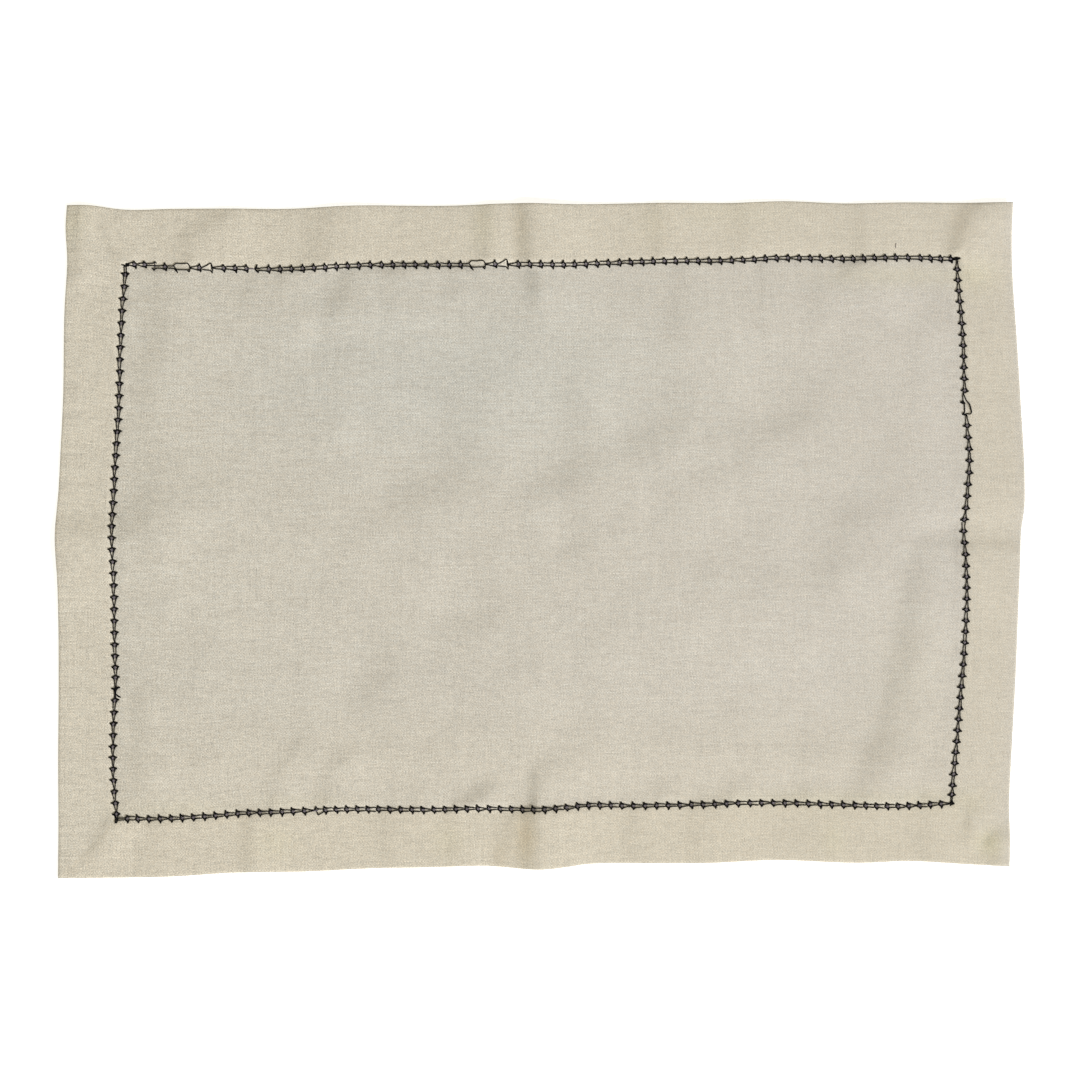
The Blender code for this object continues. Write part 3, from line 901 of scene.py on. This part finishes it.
LOOP = [
    [(-11.4, -0.9), (-9.3, -0.2), (-7.2, 0.6, 0.7, 0), (-5.6, 1.9, 0.85, 0),
     (-2.8, 2.6, 0.85, 0), (-0.7, 2.75, 0.7, 0), (-0.2, 2.3), (-0.2, 0.6), (-0.1, -0.9)],
    [(-5.9, -0.8), (-3.5, -0.7, 0.7, 0), (-1.0, -0.9, 0.8, 0)],
    [(0.1, -2.4, 0.6, 0), (-0.4, -1.6, 1.0, 0), (-1.2, -0.9, 0.9, 0)],
    [(0.1, -2.4, 0.6, 0), (0.3, -1.2, 1.1, 0), (0.5, -0.3, 0.8, 0)],
]
HALF_KNOT = [
    [(-5.3, -1.0), (-3.0, -1.3), (-1.2, -1.3), (-0.3, -1.5, 0.9, 0)],
    [(0.0, -2.9, 0.7, 0), (-0.3, -1.8, 1.1, 0), (-0.8, -0.9, 0.9, 0)],
    [(0.0, -2.9, 0.6, 0), (0.4, -1.6, 1.1, 0), (0.3, -0.7, 1.2, 0), (0.9, -0.4, 0.8, 0)],
]
FLOAT_AND_CROOK = [
    [(-5.5, 0.0, 0.7, 0.6), (-3.6, 0.1, 0.6, 0.8), (-1.7, 0.0, 0.7, 0.6)],
    [(-0.3, 2.5, 0.6, 0), (-0.6, 1.5, 1.0, 0), (-1.2, 0.5, 1.0, 0), (-1.7, 0.2, 0.7, 0)],
    [(-1.7, 0.3, 0.9, 0), (-0.6, 0.4, 0.9, 0), (0.5, 0.3, 0.8, 0), (1.6, 0.5)],
    [(-1.6, 0.1, 0.9, 0), (-0.8, -0.7, 1.1, 0), (0.2, -1.5, 1.1, 0), (0.5, -2.1, 0.7, 0)],
    [(0.2, -1.1, 0.8, 0), (0.9, -0.8, 0.8, 0), (1.6, -0.6)],
]
LOOSE_TAIL = [
    [(-5.2, 0.5), (-4.2, 0.4), (-3.2, 0.2)],
    [(-5.2, -0.5), (-4.2, -0.4), (-3.2, -0.1)],
    [(-3.9, 0.1, 0.9, 0), (-1.6, 0.1, 1.3, 0), (0.0, 0.0, 2.0, 0), (1.4, 0.0, 1.0, 0)],
    [(-0.5, 0.3, 1.2, 0), (0.3, 1.3, 1.2, 0), (0.3, 2.4, 0.6, 0)],
    [(-0.2, -0.3, 1.2, 0), (0.9, -1.3, 1.4, 0), (1.1, -2.6, 0.6, 0)],
    [(-1.6, -0.2, 0.9, 0), (-2.5, -0.4, 0.8, 0), (-3.4, -1.3, 0.9, 0), (-4.2, -3.1, 0.7, 0)],
]
OUTWARD_TRIANGLE = [
    [(-5.4, 0.5), (-3.6, 1.5), (-1.6, 2.5)],
    [(-1.6, 2.5), (-1.4, 1.3), (-0.9, 0.3)],
    [(-5.4, -0.5), (-3.4, -0.6), (-2.2, -0.7), (-1.2, -1.3), (-0.8, -2.3)],
    [(-0.8, -2.5, 0.7, 0), (-0.6, -1.3, 1.1, 0), (0.2, -0.4, 1.0, 0)],
    [(-2.0, -0.3, 0.8, 0), (-0.9, 0.0, 0.8, 0.8), (1.4, 0.0, 0.7, 0)],
]
# The back row's third stitch, where the machine was set closer to the middle of the mat
SHIFTED = [
    [(-4.2, 1.9), (-1.6, 1.9), (-0.8, 2.0, 0.8, 0), (-0.2, 2.4, 0.9, 0), (0.0, 3.2, 0.5, 0)],
    [(0.0, 3.2, 0.5, 0), (0.2, 2.4, 0.8, 0), (1.0, 2.0, 0.6, 0)],
    [(-4.2, 0.7), (-1.4, 0.7), (0.2, 0.6, 0.7, 0), (1.6, 0.6)],
    [(-0.1, 1.9, 0.5, 0.3), (-0.1, 0.8, 0.5, 0.5), (-0.2, -0.6, 0.5, 0.3)],
    [(-1.8, -0.8, 0.6, 0), (-0.9, -1.0, 0.9, 0), (-0.4, -2.2, 0.5, 0)],
    [(-0.4, -2.2, 0.5, 0), (-0.1, -1.2, 0.9, 0), (0.5, -0.8, 0.8, 0), (1.6, -0.7)],
]
# The last knot of a row, at the mat's corner, as each row ends
BACK_CORNER = [
    [(-4.6, 0.6), (-1.9, 0.5), (-0.9, 0.7, 0.9, 0), (-0.3, 1.4, 0.6, 0)],
    [(-0.3, 1.4, 0.6, 0), (0.5, 0.7, 1.0, 0), (2.0, 0.6, 0.7, 0)],
    [(-4.6, -0.5), (-1.9, -0.4), (-0.6, -0.3), (0.6, 0.1, 0.9, 0), (2.0, 0.6, 0.7, 0)],
    [(-1.6, 0.1, 1.1, 0), (0.0, 0.1, 1.4, 0), (1.2, 0.3, 1.0, 0)],
    [(-0.2, 0.0, 1.1, 0), (0.2, -0.9, 1.0, 0), (0.3, -2.0, 0.8, 0)],
]
OUTER_BARB = [
    [(-4.7, 0.5), (-2.4, 0.7), (-0.8, 0.8, 0.7, 0), (0.2, 0.6, 0.9, 0)],
    [(-4.7, -0.5), (-2.4, -0.4), (-0.8, -0.3, 0.7, 0), (0.2, 0.0, 0.9, 0)],
    [(0.5, -2.2, 0.9, 0), (0.2, -1.0, 1.1, 0), (0.0, 0.2, 1.2, 0), (0.3, 1.2, 0.8, 0),
     (0.5, 2.5, 0.5, 0)],
]
SMALL_STAR = [
    [(-4.2, 0.5), (-1.4, 0.4), (-0.4, 0.8, 0.9, 0), (0.1, 1.7, 0.6, 0)],
    [(-4.2, -0.5), (-1.4, -0.4), (-0.2, -0.7, 0.9, 0), (0.6, -1.7, 0.6, 0)],
    [(0.1, 1.7, 0.6, 0), (0.5, 0.5, 0.9, 0), (0.7, -0.2, 0.9, 0), (1.4, -0.8, 0.6, 0)],
    [(-1.4, 0.0, 1.0, 0), (-0.2, 0.0, 1.3, 0), (0.8, 0.0, 1.0, 0)],
]
MISSED = {
    ("back", 2): SHIFTED,
    ("back", 4): BOX,
    ("back", 6): OPEN_TRIANGLE,
    ("back", 10): FLOAT_AND_CROOK,
    ("back", 29): BOX,
    ("back", 31): OPEN_TRIANGLE,
    ("back", 72): BACK_CORNER,
    ("right", 12): HALF_KNOT,
    ("right", 13): LOOP,
    ("right", 48): SMALL_STAR,
    ("front", 56): OUTWARD_TRIANGLE,
    ("front", 74): OUTER_BARB,
    ("left", 11): LOOSE_TAIL,
    ("left", 47): OUTER_BARB,
}
STEPPED_OUT = {("back", 0): 1.3, ("back", 1): 1.3}  # stitches that lie further outwards
# A cut end, thin as a hair, that lies on the hem past this knot
CUT_END = ("back", 66, [(0.1, 5.0, 0.30, 0.8), (0.0, 6.8, 0.26, 0.9), (0.4, 8.4, 0.22, 1.0)])


def smooth_path(points, step):
    """A path that runs smoothly through its points, with one about every step."""
    points = np.array(points, float)
    travelled = np.concatenate([[0], np.cumsum(np.hypot(*np.diff(points[:, :2], axis=0).T))])
    count = max(3, int(np.ceil(travelled[-1] / step)))
    at = np.linspace(0, travelled[-1], count + 1)
    columns = [smooth_curve(np.column_stack([travelled, column]), at) for column in points.T]
    return np.column_stack(columns)


def with_thickness(points):
    """A path's points, with the usual thickness and no painted highlight where its table gives
    none.
    """
    usual = (THREAD, 0)
    return np.array([point if len(point) == 4 else point + usual for point in points], float)


def usual_stitch(side, gap_behind, from_knot, draw):
    """One usual stitch, as paths like those above: on each side a thread that comes along
    the seam and ends in a barb, one that returns from its tip to the front of the knot, and
    a loop with a painted grey highlight on its top. Its rails come from the front of a knot,
    or both from one needle hole."""
    outer_tip, inner_tip, rail_start, varies, rail_end, rail = ROW_HABITS[side]
    start = np.clip(rail_start + varies * draw.normal(), 0.2, 1.0) if from_knot else 0.15
    behind = -gap_behind + (1.2 if from_knot else 0.1)
    slant = draw.normal(0, 0.10)
    paths = []
    for way, ahead in ((1, outer_tip), (-1, inner_tip)):
        tip = ahead + draw.normal(0, 0.15)
        reach = BARB_REACH * draw.uniform(0.88, 1.1)
        root = rail_end + draw.normal(0, 0.08)
        bend = (start + root) / 2 + draw.normal(0, 0.10)
        paths.append([
            (behind, way * start + slant, rail, 0),
            (-gap_behind / 2 - 0.2, way * bend + slant, rail, 0),
            (-1.7, way * root + slant, rail + 0.04, 0),
            (-0.9, way * (root + 0.15) + slant, 0.95, 0),
            (tip - 0.30, way * 1.40, 1.00, 0),
            (tip, way * reach, 0.62, 0),
        ])
        paths.append([
            (tip + 0.05, way * (reach - 0.05), 0.60, 0),
            (tip + 0.20, way * 1.3, 0.80, 0),
            (0.75, way * 0.65, 0.90, 0),
            (1.35, way * 0.2 + slant, 0.75, 0),
        ])
        # A loop over the knot, painted pale grey in its middle as a highlight on its top
        paths.append([
            (-1.3, way * 0.40 + slant, 0.55, 0),
            (-0.5, way * (0.30 + draw.normal(0, 0.1)), 0.60, 0.8),
            (0.2, way * 0.22, 0.60, 1),
            (0.9, way * 0.05 + slant, 0.55, 0),
        ])
    return paths


def reverse_stitch(gap_behind, draw):
    """What a stitch shows on the back: a straight bar along the seam, and one across it."""
    slant = draw.normal(0, 0.12)
    along = [(-gap_behind + 0.2, 0.1 + slant), (-gap_behind / 2, slant), (0.2, -0.1 + slant)]
    across = [(0.1, 1.25 + slant), (-0.15, 0.1), (0.1, -1.25 + slant)]
    return [along, across]


def sewn_row(side, seed):
    """All threads of one row, those on the face and those on the back, as lists of flat
    places with their heights from the cloth, thicknesses and painted highlight."""
    draw = np.random.default_rng(seed)
    zero, ahead, outwards = (np.array(pair, float) for pair in SEWN[side])
    knots = KNOTS[side]

    def laid(path, knot, shift, lying):
        points = smooth_path(with_thickness(path), THREAD_STEP) + (0, shift, 0, 0)
        flat = zero + abs(ahead) * knot + points[:, :1] * ahead + points[:, 1:2] * outwards
        to_end = np.minimum(np.arange(len(points)), np.arange(len(points))[::-1])
        sunk = np.sign(lying) * SUNK_END
        lift = soft_step(to_end * THREAD_STEP, 0, DIVE) * (lying + sunk) - sunk
        return np.column_stack([flat, lift, points[:, 2:]])

    on_face, on_back = [], []
    for number, knot in enumerate(knots):
        behind = abs(knot - knots[number - 1]) if number else FIRST_STITCH
        which = (side, number)
        before = MISSED.get((side, number - 1))
        from_knot = number > 0 and (before is None or before in (SHIFTED, FLOAT_AND_CROOK))
        paths = MISSED.get(which) or usual_stitch(side, behind, from_knot, draw)
        if CUT_END[:2] == which:
            paths = paths + [CUT_END[2]]
        shift = STEPPED_OUT.get(which, 0)
        on_face += [laid(path, knot, shift, LYING) for path in paths]
        on_back += [laid(path, knot, 0, -UNDER_CLOTH) for path in reverse_stitch(behind, draw)]
    return on_face, on_back


def on_the_cloth(on_face, on_back):
    """The threads' points where they lie on the laid-out cloth, with their thickness and
    painted highlight."""
    every = np.concatenate(on_face + on_back)
    x, y, face, back = face_and_back(every[:, 0], every[:, 1])
    of_face = sum(len(thread) for thread in on_face)
    heights = np.where(np.arange(len(every)) < of_face, face, back) + every[:, 2]
    rows = np.column_stack([x, y, heights, every[:, 3:]])
    return np.split(rows, np.cumsum([len(thread) for thread in on_face + on_back])[:-1])


def twisted_tube(rows):
    """Rings of one twisted thread, and how far out on its ply each point lies."""
    points = rows[:, :3]
    along = np.gradient(points, axis=0)
    along /= np.linalg.norm(along, axis=1, keepdims=True)
    sideways = np.cross(along, (0, 0, 1))
    sideways /= np.linalg.norm(sideways, axis=1, keepdims=True)
    upwards = np.cross(sideways, along)
    steps = np.linalg.norm(np.diff(points, axis=0), axis=1)
    travelled = np.concatenate([[0], np.cumsum(steps)])[:, None]
    around = np.linspace(0, 2 * np.pi, THREAD_SIDES, endpoint=False)[None, :]
    on_ply = np.cos(PLIES * (around - 2 * np.pi * travelled / PLY_TURN))
    radius = (rows[:, 3:4] / 2 * (1 - PLY_ROUNDNESS + PLY_ROUNDNESS * on_ply))[..., None]
    ring = np.cos(around)[..., None] * sideways[:, None]
    ring = ring + np.sin(around)[..., None] * upwards[:, None]
    return points[:, None] + radius * ring, on_ply


def make_threads(name, threads):
    """One mesh of many threads, each a closed tube."""
    places, plies, highlights, faces = [], [], [], []
    count = 0
    for rows in threads:
        rings, on_ply = twisted_tube(rows)
        for i in range(len(rings) - 1):
            for j in range(THREAD_SIDES):
                k = (j + 1) % THREAD_SIDES
                low, high = count + i * THREAD_SIDES, count + (i + 1) * THREAD_SIDES
                faces.append((low + j, high + j, high + k, low + k))
        last = count + len(rings) * THREAD_SIDES - 1
        faces.append([count + j for j in range(THREAD_SIDES)])
        faces.append([last - j for j in range(THREAD_SIDES)])
        places.append(rings.reshape(-1, 3))
        plies.append(on_ply.ravel())
        highlights.append(np.repeat(rows[:, 4], THREAD_SIDES))
        count = last + 1
    mesh = bpy.data.meshes.new(name)
    mesh.from_pydata((np.concatenate(places) * MM).tolist(), [], faces)
    mesh.shade_smooth()
    for attribute, values in (("on_ply", plies), ("painted_highlight", highlights)):
        column = mesh.attributes.new(attribute, "FLOAT", "POINT")
        column.data.foreach_set("value", np.concatenate(values))
    piece = bpy.data.objects.new(name, mesh)
    bpy.context.scene.collection.objects.link(piece)
    return piece


CHARCOAL = "#100f0f"
CHARCOAL_GROOVE_SHADE = "#060505"  # painted shade where the plies meet
# The pale grey painted as a highlight on the knots' tops and on some loose threads
CHARCOAL_PAINTED_HIGHLIGHT = "#7f7880"


def make_cotton():
    """Dyed cotton thread: two charcoal plies, with painted shade in the dark lines where they
    meet, a faint bloom of fibres that keeps it from shining, and a painted grey highlight on
    top of the knots and of some loose threads."""
    cotton = bpy.data.materials.new("dyed_cotton_thread")
    cotton.use_nodes = True
    shader = cotton.node_tree.nodes["Principled BSDF"]
    on_ply = add_node(cotton, "Attribute", attribute_name="on_ply").outputs["Fac"]
    painted_highlight = add_node(cotton, "Attribute", attribute_name="painted_highlight").outputs["Fac"]
    on_top = add_node(cotton, "MapRange", on_ply, -1, 0.6)
    colour = linear(CHARCOAL_GROOVE_SHADE)
    for share, other in ((on_top, CHARCOAL), (painted_highlight, CHARCOAL_PAINTED_HIGHLIGHT)):
        colour = add_node(cotton, "Mix", share, colour, linear(other), data_type="RGBA")
    mixed_colour = 2  # the number of a mix node's colour output
    cotton.node_tree.links.new(colour.outputs[mixed_colour], shader.inputs["Base Color"])
    shader.inputs["Roughness"].default_value = 0.85
    shader.inputs["Specular IOR Level"].default_value = 0.12
    return cotton


cotton = make_cotton()
for seed, side in enumerate(STITCH_ROWS):
    row = make_threads(f"hemstitch_{side}", on_the_cloth(*sewn_row(side, seed)))
    row.data.materials.append(cotton)
    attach(row, "root")

# ----------------------------------------------------------------------------------------
# The table and the light. A plain white table top that is lit a little from within, so that
# the mat's shadow stays faint. A far key light comes low from the front right, a weak one
# from the front, and the rest from warm white walls all round.

TABLE_WHITE = "#f8f8f8"
TABLE_GLOW = 0.55
TABLE_HALF = 4.0  # half its width. From here on sizes and places are in metres.
TABLE_GAP = 0.05 * MM  # how far it lies below the cloth
LAMP_COLOUR = "#fafaff"
WALL_COLOUR = "#fffaec"
WALL_GLOW = 0.52

table_mesh = bpy.data.meshes.new("table_top")
corner_ways = ((-1, -1), (1, -1), (1, 1), (-1, 1))
table_corners = [(TABLE_HALF * x, TABLE_HALF * y, 0) for x, y in corner_ways]
table_mesh.from_pydata(table_corners, [], [(0, 1, 2, 3)])
table_top = bpy.data.objects.new("table_top", table_mesh)
table_top.location.z = -TABLE_GAP
bpy.context.scene.collection.objects.link(table_top)
white = bpy.data.materials.new("white_table")
white.use_nodes = True
white_shader = white.node_tree.nodes["Principled BSDF"]
white_shader.inputs["Base Color"].default_value = linear(TABLE_WHITE)
white_shader.inputs["Roughness"].default_value = 0.9
white_shader.inputs["Emission Color"].default_value = linear(TABLE_WHITE)
white_shader.inputs["Emission Strength"].default_value = TABLE_GLOW
table_mesh.materials.append(white)


def add_soft_light(name, place, width, power):
    """A round lamp that faces the mat."""
    data = bpy.data.lights.new(name, "AREA")
    data.shape = "DISK"
    data.size = width
    data.energy = power
    data.color = linear(LAMP_COLOUR)[:3]
    light = bpy.data.objects.new(name, data)
    light.location = place
    direction = -light.location.copy()
    light.rotation_euler = direction.to_track_quat("-Z", "Y").to_euler()
    bpy.context.scene.collection.objects.link(light)


add_soft_light("far_key", place=(16.2, -14.3, 10.5), width=6.2, power=7660)
add_soft_light("front_fill", place=(0.2, -1.6, 1.2), width=0.8, power=2.5)
world = bpy.context.scene.world or bpy.data.worlds.new("World")
bpy.context.scene.world = world
world.use_nodes = True
background = world.node_tree.nodes["Background"]
background.inputs["Color"].default_value = linear(WALL_COLOUR)
background.inputs["Strength"].default_value = WALL_GLOW
